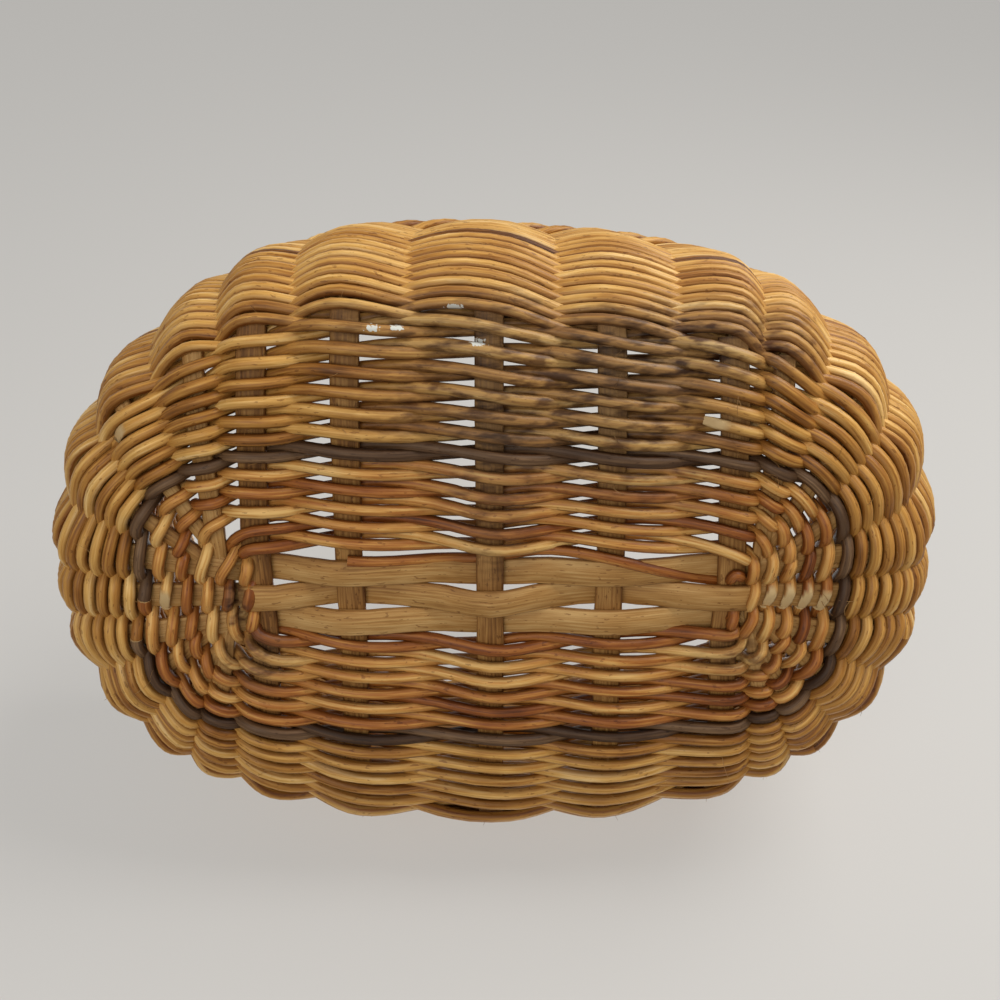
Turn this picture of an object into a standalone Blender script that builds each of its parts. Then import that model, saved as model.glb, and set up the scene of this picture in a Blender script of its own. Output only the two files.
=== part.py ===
"""Oval wicker basket for carrying a pie, standing on its woven base, opening upwards.

Metres, +Z up, +X along the oval. The origin is on the ground under the middle of the base.
The base is a frame of flat sticks: three long ones woven through five short ones, four corner
sticks and eight fan sticks. Round rods are woven round this frame in twelve rows, the sixth of
them dark. A round stake goes on from every stick end, up through a thick wall of rods whose
outside swells over each stake and has a rib for every row, and a rolled border closes the rim.
"""
import math

import bmesh
import bpy
from mathutils import Vector

# Base oval, measured to the ends of the flat sticks
BASE_HALF_LENGTH = 0.178
BASE_HALF_WIDTH = 0.118
BASE_EDGE_RISE = 0.008
FLAT_ZONE_SHARE = 0.5
OVAL_SQUARENESS = 2.4

# Wall, from the base edge to the top of the border; the height is that of the long sides
BASKET_HEIGHT = 0.142
FLARE_RADIUS = 0.075
SIDE_FLARE_START_DEGREES = 46.0
END_FLARE_START_DEGREES = 58.0
FLARE_END_DEGREES = 96.0
FLARE_BLEND_POWER = 2

# Flat sticks of the base
SHORT_STICK_WIDTH = 0.0115
SHORT_STICK_THICKNESS = 0.0035
LONG_STICK_WIDTH = 0.0120
LONG_STICK_THICKNESS = 0.0030
LONG_STICK_PITCH = 0.0128
LONG_STICK_RAMP = 0.0050
CORNER_STICK_WIDTH = 0.0080
FAN_STICK_WIDTH = 0.0060

# Round rods
BASE_ROD_DIAMETER = 0.0036
FOOT_DEPTH = 0.0003
WALL_ROD_DIAMETER = 0.0046
STAKE_DIAMETER = 0.0048
BORDER_DIAMETER = 0.0130
GROOVE_DEPTH = 0.0015

# Clearances
GAP = 0.0003
CHANNEL_GAP = 0.0005
ROD_GAP = 0.0005
CORNER_OUTSET = 0.0007
FAN_OUTSET = 0.0016
WALL_START = 0.0030
STAKE_START = 0.0022
CUTTER_OVERRUN = 0.0020

# Middle loop that the rows of the base grow from, boxy round the three long sticks
LOOP_CLEARANCE = 0.0092
LOOP_HALF_WIDTH = 0.022
LOOP_SQUARENESS = 8.0
LOOP_ROUNDING_POWER = 2

# Places round the oval, as shares of the base's half length
SHORT_STICK_SHARES = (-0.543, -0.328, 0.0, 0.281, 0.562)
CORNER_END_SHARE = 0.685
FAN_END_SHARES = (0.818, 0.928)
LONG_STICK_END_SHARE = 0.988
SPLAY_SHARE = 0.05

# Rows of base weaving, counted from the middle outwards
BASE_ROWS = 12
INNER_ROWS = 5
DARK_ROWS = 1
ROW_SPACES = 12.8
FIRST_ROW_SPACES = 0.5
CORNER_JOINS_AT_SHARE = 0.30
LONG_JOINS_AT_SHARE = 0.42
FAN_JOINS_AT_SHARE = 0.55

# Rows of wall weaving, and the rows at which each band of them bends
WALL_ROWS = 24
UPSETT_BEND_ROWS = (0, 2.5, 5)
BELLY_BEND_ROWS = (5, 8, 11, 15)
UPPER_BEND_ROWS = (15, WALL_ROWS)
ROW_SLANT_SHARE = 0.25
SHOULDER_SHARE = 0.22
VALLEY_SHARE = 0.45
BORDER_WAIST_SHARE = 0.88

# Search along a stick for its crossing with a row
NEAREST_SHARE = -0.2
HALVINGS = 40
SLOPE_STEP_SHARE = 0.02

# Points of a stick's curve outside the flat middle, and the bend that stays a crisp edge
STICK_STEPS = 5
SHARP_DEGREES = 70

OUTSIDE = -1
INSIDE = 1

LAST_SHORT_STICK_EDGE = BASE_HALF_LENGTH * SHORT_STICK_SHARES[-1] + SHORT_STICK_WIDTH / 2
LOOP_HALF_LENGTH = LAST_SHORT_STICK_EDGE + LOOP_CLEARANCE
ROD_RADIUS = BASE_ROD_DIAMETER / 2
STAKE_RADIUS = STAKE_DIAMETER / 2
BORDER_RADIUS = BORDER_DIAMETER / 2
CREST_HALF_THICKNESS = STAKE_RADIUS + WALL_ROD_DIAMETER
VALLEY_HALF_THICKNESS = CREST_HALF_THICKNESS * VALLEY_SHARE
ROD_OFFSET = SHORT_STICK_THICKNESS / 2 + ROD_GAP + ROD_RADIUS
LONG_STICK_OFFSET = (SHORT_STICK_THICKNESS + LONG_STICK_THICKNESS) / 2 + GAP
# A six-sided rod lies on one of its flats, which is this far under its middle
ROD_FLAT_DEPTH = ROD_RADIUS * math.cos(math.pi / 6)
BASE_MIDDLE_HEIGHT = ROD_OFFSET + ROD_FLAT_DEPTH - FOOT_DEPTH
SIDE_FLARE_START = math.radians(SIDE_FLARE_START_DEGREES)
END_FLARE_START = math.radians(END_FLARE_START_DEGREES)
FLARE_END = math.radians(FLARE_END_DEGREES)


def clear_scene():
    """Start from nothing, whatever the open file holds."""
    for thing in list(bpy.data.objects):
        bpy.data.objects.remove(thing, do_unlink=True)


def new_collection(name):
    collection = bpy.data.collections.new(name)
    bpy.context.scene.collection.children.link(collection)
    return collection


def new_material(name, colour, roughness):
    material = bpy.data.materials.new(name)
    material.use_nodes = True
    shader = material.node_tree.nodes["Principled BSDF"]
    shader.inputs["Base Color"].default_value = (*colour, 1.0)
    shader.inputs["Roughness"].default_value = roughness
    shader.inputs["Metallic"].default_value = 0.0
    return material


clear_scene()
BASKET = new_collection("pie_basket")
CUTTERS = new_collection("cutters")
STICK_WOOD = new_material("flat_stick_wood", (0.42, 0.31, 0.18), 0.60)
TAN_ROD = new_material("tan_rod", (0.56, 0.33, 0.13), 0.42)
BROWN_ROD = new_material("brown_rod", (0.42, 0.21, 0.08), 0.42)
DARK_ROD = new_material("dark_rod", (0.07, 0.06, 0.05), 0.50)
STAKE_WOOD = new_material("stake_wood", (0.47, 0.30, 0.14), 0.50)


def signed_power(value, exponent):
    return math.copysign(abs(value) ** exponent, value)


def outline_point(turn):
    """Point of the base oval at an angle, as a superellipse."""
    x = BASE_HALF_LENGTH * signed_power(math.cos(turn), 2 / OVAL_SQUARENESS)
    y = BASE_HALF_WIDTH * signed_power(math.sin(turn), 2 / OVAL_SQUARENESS)
    return Vector((x, y, 0))


def outline_normal(turn):
    """Level direction pointing straight out of the base oval."""
    point = outline_point(turn)
    x = signed_power(point.x / BASE_HALF_LENGTH, OVAL_SQUARENESS - 1) / BASE_HALF_LENGTH
    y = signed_power(point.y / BASE_HALF_WIDTH, OVAL_SQUARENESS - 1) / BASE_HALF_WIDTH
    return Vector((x, y, 0)).normalized()


def outline_turn(end_share, side_y):
    """Angle of the outline where x is this share of the half length, on one long side."""
    turn = math.acos(min(1.0, abs(end_share)) ** (OVAL_SQUARENESS / 2))
    if end_share < 0:
        turn = math.pi - turn
    return turn if side_y > 0 else 2 * math.pi - turn


def edge_share(share):
    """0 in the flat middle of the base, rising to 1 at its edge."""
    return max(0.0, (share - FLAT_ZONE_SHARE) / (1 - FLAT_ZONE_SHARE))


class Spoke:
    """Half of a stick that runs from the middle part of the base to its edge."""

    def __init__(self, kind, start, end_share, side_y, width, joins_at):
        self.kind = kind
        self.turn = outline_turn(end_share, side_y)
        self.start = Vector((*start, 0))
        self.run = outline_point(self.turn) - self.start
        self.width = width
        self.joins_at = joins_at

    def point(self, share):
        """Middle of the stick where the row at this share of the way out crosses it."""
        half_length = LOOP_HALF_LENGTH + (BASE_HALF_LENGTH - LOOP_HALF_LENGTH) * share
        half_width = LOOP_HALF_WIDTH + (BASE_HALF_WIDTH - LOOP_HALF_WIDTH) * share
        boxiness = (1 - share) ** LOOP_ROUNDING_POWER
        squareness = OVAL_SQUARENESS + (LOOP_SQUARENESS - OVAL_SQUARENESS) * boxiness
        low, high = NEAREST_SHARE, 1.0
        for _ in range(HALVINGS):
            middle = (low + high) / 2
            place = self.start + self.run * middle
            reach = abs(place.x / half_length) ** squareness
            reach += abs(place.y / half_width) ** squareness
            low, high = (middle, high) if reach < 1 else (low, middle)
        place = self.start + self.run * high
        place.z = BASE_MIDDLE_HEIGHT + BASE_EDGE_RISE * edge_share(share) ** 2
        return place

    def normal(self, share):
        """Direction square to the stick's flat, pointing into the basket."""
        step = self.point(share) - self.point(share - SLOPE_STEP_SHARE)
        level = Vector((step.x, step.y, 0))
        return Vector((-step.z * step.x, -step.z * step.y, level.length_squared)).normalized()


def short_spoke(share, side_y):
    start = (share * BASE_HALF_LENGTH, side_y * LOOP_HALF_WIDTH)
    end_share = share * (1 + SPLAY_SHARE * side_y)
    return Spoke("short", start, end_share, side_y, SHORT_STICK_WIDTH, 0.0)


def corner_spokes(side_x, side_y):
    """The corner stick and the two fan sticks of one quarter, from the long side round."""
    start_y = side_y * LOOP_HALF_WIDTH
    corner_end = side_x * CORNER_END_SHARE * (1 + SPLAY_SHARE * side_y)
    corner_start = (side_x * (LOOP_HALF_LENGTH + CORNER_OUTSET), start_y)
    fan_start = (side_x * (LOOP_HALF_LENGTH + FAN_OUTSET), start_y)
    spokes = [Spoke("corner", corner_start, corner_end, side_y,
                    CORNER_STICK_WIDTH, CORNER_JOINS_AT_SHARE)]
    for end_share in FAN_END_SHARES:
        spokes.append(Spoke("fan", fan_start, side_x * end_share, side_y,
                            FAN_STICK_WIDTH, FAN_JOINS_AT_SHARE))
    return spokes


def long_spoke(side_x, row):
    """End of a long stick; row is -1, 0 or 1 across the basket."""
    start = (side_x * LOOP_HALF_LENGTH, row * LONG_STICK_PITCH)
    end_share = side_x * (LONG_STICK_END_SHARE if row else 1.0)
    joins_at = LONG_JOINS_AT_SHARE if row else 0.0
    return Spoke("long", start, end_share, row if row else 1, LONG_STICK_WIDTH, joins_at)


def all_spokes():
    """The twenty-eight stick ends in order round the base, from the middle of the +X end."""
    right_to_left = [short_spoke(share, 1) for share in reversed(SHORT_STICK_SHARES)]
    left_to_right = [short_spoke(share, -1) for share in SHORT_STICK_SHARES]
    spokes = [long_spoke(1, 0), long_spoke(1, 1)]
    spokes += reversed(corner_spokes(1, 1))
    spokes += right_to_left
    spokes += corner_spokes(-1, 1)
    spokes += [long_spoke(-1, 1), long_spoke(-1, 0), long_spoke(-1, -1)]
    spokes += reversed(corner_spokes(-1, -1))
    spokes += left_to_right
    spokes += corner_spokes(1, -1)
    spokes.append(long_spoke(1, -1))
    return spokes


SPOKES = all_spokes()
SPOKE_COUNT = len(SPOKES)


def flat_stick(name, centres, widths, thickness):
    """A flat stick along a list of middle points, as a strip given its thickness."""
    mesh = bpy.data.meshes.new(name)
    strip = bmesh.new()
    edges = []
    for index, (centre, width) in enumerate(zip(centres, widths)):
        before = centres[max(index - 1, 0)]
        after = centres[min(index + 1, len(centres) - 1)]
        along = Vector((after.x - before.x, after.y - before.y, 0)).normalized()
        across = Vector((-along.y, along.x, 0)) * (width / 2)
        edges.append((strip.verts.new(centre - across), strip.verts.new(centre + across)))
    for (left, right), (next_left, next_right) in zip(edges, edges[1:]):
        strip.faces.new((left, next_left, next_right, right))
    strip.to_mesh(mesh)
    strip.free()
    stick = bpy.data.objects.new(name, mesh)
    BASKET.objects.link(stick)
    solid = stick.modifiers.new("thickness", "SOLIDIFY")
    solid.thickness = thickness
    solid.offset = 0
    mesh.materials.append(STICK_WOOD)
    return stick


def rod_curve(name, runs, radius, resolution, twist="Z_UP", closed=False, radii=None):
    """One round rod for each run of points, all in one curve object."""
    curve = bpy.data.curves.new(name, "CURVE")
    curve.dimensions = "3D"
    curve.twist_mode = twist
    curve.bevel_depth = radius
    curve.bevel_resolution = resolution
    curve.use_fill_caps = True
    for points in runs:
        spline = curve.splines.new("POLY")
        spline.points.add(len(points) - 1)
        spline.use_cyclic_u = closed
        for index, point in enumerate(points):
            spline.points[index].co = (*point, 1.0)
            spline.points[index].radius = radii[index] if radii else 1.0
    rod = bpy.data.objects.new(name, curve)
    return rod


def curve_to_mesh(rod, collection, material):
    """Replace a curve by a closed mesh, so that it can be cut or can cut."""
    bpy.context.scene.collection.objects.link(rod)
    depsgraph = bpy.context.evaluated_depsgraph_get()
    mesh = bpy.data.meshes.new_from_object(rod.evaluated_get(depsgraph))
    tidy = bmesh.new()
    tidy.from_mesh(mesh)
    bmesh.ops.remove_doubles(tidy, verts=tidy.verts, dist=GAP / 10)
    bmesh.ops.recalc_face_normals(tidy, faces=tidy.faces)
    tidy.to_mesh(mesh)
    tidy.free()
    name = rod.name
    placed = rod.matrix_world.copy()
    bpy.data.objects.remove(rod, do_unlink=True)
    solid = bpy.data.objects.new(name, mesh)
    solid.matrix_world = placed
    collection.objects.link(solid)
    mesh.materials.clear()
    mesh.materials.append(material)
    mesh.shade_smooth()
    mesh.set_sharp_from_angle(angle=math.radians(SHARP_DEGREES))
    return solid


def spoke_path(spoke, start_share):
    """Middle points of a spoke from its inner part to the base edge."""
    shares = [start_share] if start_share < FLAT_ZONE_SHARE else []
    for step in range(STICK_STEPS + 1):
        shares.append(FLAT_ZONE_SHARE + (1 - FLAT_ZONE_SHARE) * step / STICK_STEPS)
    return [spoke.point(share) for share in shares]


def make_short_sticks():
    for number, share in enumerate(SHORT_STICK_SHARES, start=1):
        front = spoke_path(short_spoke(share, -1), 0.0)
        back = spoke_path(short_spoke(share, 1), 0.0)
        centres = list(reversed(front)) + back
        widths = [SHORT_STICK_WIDTH] * len(centres)
        flat_stick(f"short_stick_{number}", centres, widths, SHORT_STICK_THICKNESS)


def make_long_sticks():
    """Three long sticks, woven over and under the five short ones."""
    names = {-1: "long_stick_front", 0: "long_stick_middle", 1: "long_stick_back"}
    rest = SHORT_STICK_WIDTH / 2 + LONG_STICK_THICKNESS / 2
    for row, name in names.items():
        y = row * LONG_STICK_PITCH
        centres = list(reversed(spoke_path(long_spoke(-1, row), 0.0)))
        for index, share in enumerate(SHORT_STICK_SHARES):
            side = OUTSIDE if (index + row) % 2 == 0 else INSIDE
            x = share * BASE_HALF_LENGTH
            z = BASE_MIDDLE_HEIGHT + side * LONG_STICK_OFFSET
            if index == 0:
                ramp_x = x - rest - LONG_STICK_RAMP
                centres.append(Vector((ramp_x, y, BASE_MIDDLE_HEIGHT)))
            centres.append(Vector((x - rest, y, z)))
            centres.append(Vector((x + rest, y, z)))
        ramp_x = x + rest + LONG_STICK_RAMP
        centres.append(Vector((ramp_x, y, BASE_MIDDLE_HEIGHT)))
        centres += spoke_path(long_spoke(1, row), 0.0)
        widths = [LONG_STICK_WIDTH] * len(centres)
        flat_stick(name, centres, widths, LONG_STICK_THICKNESS)


def make_pushed_sticks():
    """Corner and fan sticks, pushed in between rows, with a tapered inner end."""
    counts = {"corner": 0, "fan": 0}
    for spoke in SPOKES:
        if spoke.kind not in counts:
            continue
        counts[spoke.kind] += 1
        centres = spoke_path(spoke, spoke.joins_at)
        if spoke.joins_at < FLAT_ZONE_SHARE:
            centres.insert(1, spoke.point(spoke.joins_at + spoke.width / spoke.run.length))
        widths = [spoke.width / 2] + [spoke.width] * (len(centres) - 1)
        name = f"{spoke.kind}_stick_{counts[spoke.kind]}"
        flat_stick(name, centres, widths, SHORT_STICK_THICKNESS)


def crossings(step, strand):
    """Place of a weaver at one stick, or nothing where that stick isn't in the row yet.

    The long sticks lie close together near the middle, so there a row takes all three as one.
    """
    share = (2 * step / SPOKE_COUNT + strand + FIRST_ROW_SPACES) / ROW_SPACES
    index = step % SPOKE_COUNT
    spoke = SPOKES[index]
    joined = [place for place in range(SPOKE_COUNT) if SPOKES[place].joins_at <= share]
    present = [place for place in range(SPOKE_COUNT)
               if place in joined or SPOKES[place].kind == "long"]
    if index not in present:
        return []
    leader = index
    if index not in joined:
        leader = index - 1 if (index - 1) in joined else (index + 1) % SPOKE_COUNT
    side = OUTSIDE if (joined.index(leader) + strand) % 2 == 0 else INSIDE
    order = present.index(index)
    square = spoke.normal(share)
    points = []
    for neighbour in (present[order - 1], present[(order + 1) % len(present)]):
        away = SPOKES[neighbour].point(share) - spoke.point(share)
        away = (away - square * away.dot(square)).normalized()
        squareness = abs(away.cross(spoke.run.normalized()).z)
        reach = (spoke.width / 2 + ROD_RADIUS / 2) / squareness
        points.append(spoke.point(share) + square * (side * ROD_OFFSET) + away * reach)
    return points


def subtract(solid, cutter, name):
    """Cut one piece with another, which isn't itself a part of the basket."""
    cut = solid.modifiers.new(name, "BOOLEAN")
    cut.operation = "DIFFERENCE"
    cut.solver = "MANIFOLD"
    cut.object = cutter


def hide_cutter(cutter):
    cutter.hide_render = True
    cutter.display_type = "WIRE"


def make_ground():
    """Block under the base, which cuts flat feet on the lowest rods."""
    bpy.ops.mesh.primitive_cube_add(size=1)
    ground = bpy.context.active_object
    ground.name = "ground"
    ground.scale = (BASE_HALF_LENGTH * 2, BASE_HALF_WIDTH * 2, ROD_RADIUS * 2)
    ground.location = (0, 0, -ROD_RADIUS)
    for collection in list(ground.users_collection):
        collection.objects.unlink(ground)
    CUTTERS.objects.link(ground)
    hide_cutter(ground)
    return ground


def make_base_weavers():
    """Two weavers chase each other round the sticks; the sixth row of both is dark."""
    ground = make_ground()
    inner_end = INNER_ROWS * SPOKE_COUNT // 2
    dark_end = (INNER_ROWS + DARK_ROWS) * SPOKE_COUNT // 2
    last = BASE_ROWS * SPOKE_COUNT // 2
    lengths = {
        "inner_base_weaver": (0, inner_end, BROWN_ROD),
        "dark_base_weaver": (inner_end, dark_end, DARK_ROD),
        "outer_base_weaver": (dark_end, last, TAN_ROD),
    }
    for name, (first_step, last_step, material) in lengths.items():
        for strand, letter in enumerate("ab"):
            earlier = strand * SPOKE_COUNT // 2
            first = max(first_step - earlier, 0)
            points = []
            for step in range(first, last_step - earlier):
                points += crossings(step, strand)
            rod = rod_curve(f"{name}_{letter}", [points], ROD_RADIUS, 1)
            subtract(curve_to_mesh(rod, BASKET, material), ground, "flat feet")


def flare_start(turn):
    """Slope of the wall at the base edge: it starts steeper at the ends than along the sides."""
    nearness_to_end = abs(outline_normal(turn).x) ** FLARE_BLEND_POWER
    return SIDE_FLARE_START + (END_FLARE_START - SIDE_FLARE_START) * nearness_to_end


def wall_profile(start, distance):
    """Outset, height and slope of the wall at a distance up it from the base edge."""
    edge = BASE_MIDDLE_HEIGHT + BASE_EDGE_RISE
    flare_length = FLARE_RADIUS * (FLARE_END - start)
    slope = start + min(distance, flare_length) / FLARE_RADIUS
    out = FLARE_RADIUS * (math.sin(slope) - math.sin(start))
    up = FLARE_RADIUS * (math.cos(start) - math.cos(slope))
    straight = max(0.0, distance - flare_length)
    out += straight * math.cos(slope)
    up += straight * math.sin(slope)
    return out, edge + up, slope


def wall_point(turn, distance, offset=0.0):
    """Point of the wall; offset is positive towards the outside."""
    out, height, slope = wall_profile(flare_start(turn), distance)
    level = outline_normal(turn)
    place = outline_point(turn) + level * (out + offset * math.sin(slope))
    place.z = height - offset * math.cos(slope)
    return place


def wall_length():
    """Length up the wall that puts the top of the border at the basket's height on the sides."""
    flare_length = FLARE_RADIUS * (FLARE_END - SIDE_FLARE_START)
    flare_top = wall_profile(SIDE_FLARE_START, flare_length)[1]
    lift = (BORDER_RADIUS + GAP) * math.sin(FLARE_END) + BORDER_RADIUS
    return flare_length + (BASKET_HEIGHT - lift - flare_top) / math.sin(FLARE_END)


def wall_distance(row):
    """Distance up the wall at which a row of weaving begins."""
    return WALL_START + (wall_length() - WALL_START) * row / WALL_ROWS


def fluted_turns():
    """Angles round the wall, each with the wall's half thickness and which way its rows slant.

    The wall swells between two shoulders at every stake and is thin in the valleys between.
    """
    places = []
    for index, spoke in enumerate(SPOKES):
        after = SPOKES[(index + 1) % SPOKE_COUNT].turn % (2 * math.pi)
        before = SPOKES[index - 1].turn % (2 * math.pi)
        here = spoke.turn % (2 * math.pi)
        ahead = (after - here) % (2 * math.pi)
        behind = (here - before) % (2 * math.pi)
        places.append((here - behind * SHOULDER_SHARE, CREST_HALF_THICKNESS, 1))
        places.append((here + ahead * SHOULDER_SHARE, CREST_HALF_THICKNESS, -1))
        places.append((here + ahead / 2, VALLEY_HALF_THICKNESS, 0))
    return places


def ribbed_levels(first_row, last_row, slant):
    """Levels up the outside of a band, each with its depth: a rib for a row, a groove between."""
    lean = slant * ROW_SLANT_SHARE
    levels = [(wall_distance(first_row) + GAP / 2, GROOVE_DEPTH)]
    for row in range(first_row, last_row):
        levels.append((wall_distance(row + 0.5 + lean), 0))
        levels.append((wall_distance(row + 1 + lean), GROOVE_DEPTH))
    levels[-1] = (wall_distance(last_row) - GAP / 2, GROOVE_DEPTH)
    return levels


def wall_band(name, bend_rows, material):
    """A closed ring of dense weaving between two rows of the wall, ribbed on the outside."""
    inner_levels = [wall_distance(row) for row in bend_rows]
    inner_levels[0] += GAP / 2
    inner_levels[-1] -= GAP / 2
    mesh = bpy.data.meshes.new(name)
    ring = bmesh.new()
    sections = []
    for turn, half, slant in fluted_turns():
        section = []
        for level, depth in ribbed_levels(bend_rows[0], bend_rows[-1], slant):
            section.append(ring.verts.new(wall_point(turn, level, half - depth)))
        for level in reversed(inner_levels):
            section.append(ring.verts.new(wall_point(turn, level, -half)))
        sections.append(section)
    for section, following in zip(sections, sections[1:] + sections[:1]):
        for corner in range(len(section)):
            below = corner - 1
            ring.faces.new((section[below], following[below], following[corner], section[corner]))
    bmesh.ops.recalc_face_normals(ring, faces=ring.faces)
    ring.to_mesh(mesh)
    ring.free()
    band = bpy.data.objects.new(name, mesh)
    BASKET.objects.link(band)
    mesh.materials.append(material)
    return band


def stake_distances():
    """Distances up the wall at which a stake bends, the same as the bands have."""
    rows = sorted(set(UPSETT_BEND_ROWS + BELLY_BEND_ROWS + UPPER_BEND_ROWS))
    return [wall_distance(row) for row in rows]


def make_wall():
    """Three bands of weaving with a channel for every stake."""
    distances = stake_distances()
    runs = []
    for spoke in SPOKES:
        ends = [STAKE_START - CUTTER_OVERRUN] + distances[1:-1] + [distances[-1] + CUTTER_OVERRUN]
        runs.append([wall_point(spoke.turn, distance) for distance in ends])
    routes = rod_curve("stake_channels", runs, STAKE_RADIUS + CHANNEL_GAP, 0, twist="MINIMUM")
    channels = curve_to_mesh(routes, CUTTERS, TAN_ROD)
    hide_cutter(channels)
    bands = (
        wall_band("upsett_weave", UPSETT_BEND_ROWS, TAN_ROD),
        wall_band("belly_weave", BELLY_BEND_ROWS, TAN_ROD),
        wall_band("upper_weave", UPPER_BEND_ROWS, TAN_ROD),
    )
    for band in bands:
        subtract(band, channels, "stake channels")


def make_stakes():
    distances = stake_distances()
    for number, spoke in enumerate(SPOKES, start=1):
        route = [STAKE_START] + distances[1:]
        points = [wall_point(spoke.turn, distance) for distance in route]
        rod = rod_curve(f"stake_{number:02d}", [points], STAKE_RADIUS, 0, twist="MINIMUM")
        curve_to_mesh(rod, BASKET, STAKE_WOOD)


def make_border():
    """Rolled border on top of the wall, drawn in a little between the stakes."""
    distance = wall_length() + GAP + BORDER_RADIUS
    points = []
    radii = []
    for turn, half, _ in fluted_turns():
        points.append(wall_point(turn, distance))
        radii.append(1.0 if half == CREST_HALF_THICKNESS else BORDER_WAIST_SHARE)
    rod = rod_curve("rim_border", [points], BORDER_RADIUS, 1, closed=True, radii=radii)
    curve_to_mesh(rod, BASKET, TAN_ROD)


make_short_sticks()
make_long_sticks()
make_pushed_sticks()
make_base_weavers()
make_wall()
make_stakes()
make_border()
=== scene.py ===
"""Looks of the oval wicker basket, seen from under its woven base as in the photograph.

Metres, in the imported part's frame. Every strand of weaving is a tube that goes over and under
the sticks or stakes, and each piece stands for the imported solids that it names.
"""
import math
import random

import bpy
from mathutils import Matrix, Vector


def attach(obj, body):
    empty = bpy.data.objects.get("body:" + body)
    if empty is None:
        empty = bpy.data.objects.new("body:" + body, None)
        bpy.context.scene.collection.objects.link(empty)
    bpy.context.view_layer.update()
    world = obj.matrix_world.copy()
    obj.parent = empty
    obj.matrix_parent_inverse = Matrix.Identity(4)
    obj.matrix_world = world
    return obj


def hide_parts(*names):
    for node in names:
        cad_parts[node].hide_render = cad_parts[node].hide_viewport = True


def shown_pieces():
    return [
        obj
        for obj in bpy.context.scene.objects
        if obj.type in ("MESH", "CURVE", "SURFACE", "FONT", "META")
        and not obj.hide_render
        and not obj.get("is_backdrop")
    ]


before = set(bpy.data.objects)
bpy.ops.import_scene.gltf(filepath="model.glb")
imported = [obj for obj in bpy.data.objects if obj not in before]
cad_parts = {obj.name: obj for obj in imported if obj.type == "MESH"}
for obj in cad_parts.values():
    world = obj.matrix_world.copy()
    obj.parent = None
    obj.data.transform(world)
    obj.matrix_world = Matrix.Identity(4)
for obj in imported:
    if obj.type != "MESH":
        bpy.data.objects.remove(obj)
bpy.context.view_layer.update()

# Each kind of piece draws from a random stream of its own, seeded from this
SEED = 7
OUTSIDE = -1
INSIDE = 1

# Base oval, flare of the wall and ends of the sticks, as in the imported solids
BASE_HALF_LENGTH = 0.178
BASE_HALF_WIDTH = 0.118
BASE_EDGE_RISE = 0.008
BASE_MIDDLE_HEIGHT = 0.0053
FLAT_ZONE_SHARE = 0.5
OVAL_SQUARENESS = 2.4
FLARE_RADIUS = 0.075
SIDE_FLARE_START = math.radians(46)
END_FLARE_START = math.radians(58)
FLARE_END = math.radians(96)
SHORT_STICK_SHARES = (-0.543, -0.328, 0.0, 0.281, 0.562)
CORNER_END_SHARE = 0.685
FAN_END_SHARES = (0.818, 0.928)
SPLAY_SHARE = 0.05

# The rest is fitted to the photograph, and may differ from the solids by a few millimetres.

# Flat sticks; shares are of the way out to the base's edge
SHORT_STICK_WIDTH = 0.0115
SHORT_STICK_THICKNESS = 0.0034
LONG_STICK_WIDTH = 0.0116
LONG_STICK_END_WIDTH = 0.0106
LONG_STICK_THICKNESS = 0.0030
LONG_STICK_PITCH = 0.0116
CORNER_STICK_WIDTH = 0.0084
FAN_STICK_WIDTH = 0.0070
STICK_GAP = 0.0002
LONG_STICK_END_SHARE = 0.992
STICK_TIP_SHARE = 1.03
CORNER_START = (0.112, 0.0165)
FAN_STARTS = ((0.1155, 0.0235), (0.1225, 0.0195))
START_SHARES = {"long": 0.06, "corner": 0.06, "fan": 0.10}
START_WIDTH_SHARE = 0.55
WORN_CORNER_SHARE = 0.45
CROWN_SHARE = 1.18
STICK_STEP = 0.006
STICK_ROUNDING = 0.5
STICK_WIDTH_SCALES = (0.97, 1.03)
FIRST_LONG_SEED = 10
FIRST_SPOKE_SEED = 20
SPOKE_PARTS = 7
SHORT_STICK_TINTS = (0.25, 0.45)
LONG_STICK_TINTS = (0.62, 0.78)
SPOKE_TINTS = (0.45, 0.72)

# Round rods
BASE_ROD_RADIUS = 0.00258
WALL_ROD_RADIUS = 0.00240
STAKE_RADIUS = 0.0024
BORDER_RADIUS = 0.0065
BORDER_ROD_RADIUS = 0.0026
BORDER_SINK = 0.0016
ROD_SIDES = 9
STAKE_SIDES = 8

# Ovals that the rows of the base follow, from the middle past the dark row to the edge
LOOP_HALF_LENGTH = 0.1020
LOOP_SHIFTS = {1: 0.0018, -1: -0.0035}
LOOP_HALF_WIDTH = 0.022
LOOP_SQUARENESS = 8.0
LOOP_ROUNDING_POWER = 2
DARK_HALF_LENGTH = 0.1455
DARK_SHARE = 0.45
END_CROWDING_POWER = 1.25

# Search for the place where a row crosses a stick, and the step for slopes
SEARCH_SHARES = (-0.2, 1.2)
HALVINGS = 30
SLOPE_STEP = 0.02

# Rows of the base, in turns round it; a stick joins in at a share of the way out
ROW_SPACES = 12.0
FIRST_TURN = 0.25
FIRST_STEPS = (-8, 0)
DARK_TURNS = (5.25, 6.22)
LAST_TURN = 11.85
JOINS_AT_ONCE = -1.0
CORNER_JOINS_AT_SHARE = 0.13
FAN_JOINS_AT_SHARE = 0.22
SAG_SHARE = 0.030
SAG_TURN = math.radians(302)

# Path of a base rod between two sticks
STRETCH_PARTS = 8
ROD_HEIGHT_SHARE = 1.06
SWAY_RADIUS_SHARE = 0.95
SWAY_PITCH_SHARE = 0.27
CLOSE_SWAY_SHARE = 0.55
FULL_SWAY_GAP = 0.028
LEAST_PATH_SQUARENESS = 0.05
PATH_SQUARENESS = 2.2
ROUND_PATH_SHARE = 0.10
SQUARE_PATH_SPAN = 0.14
SMOOTHING_PASSES = 2

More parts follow.
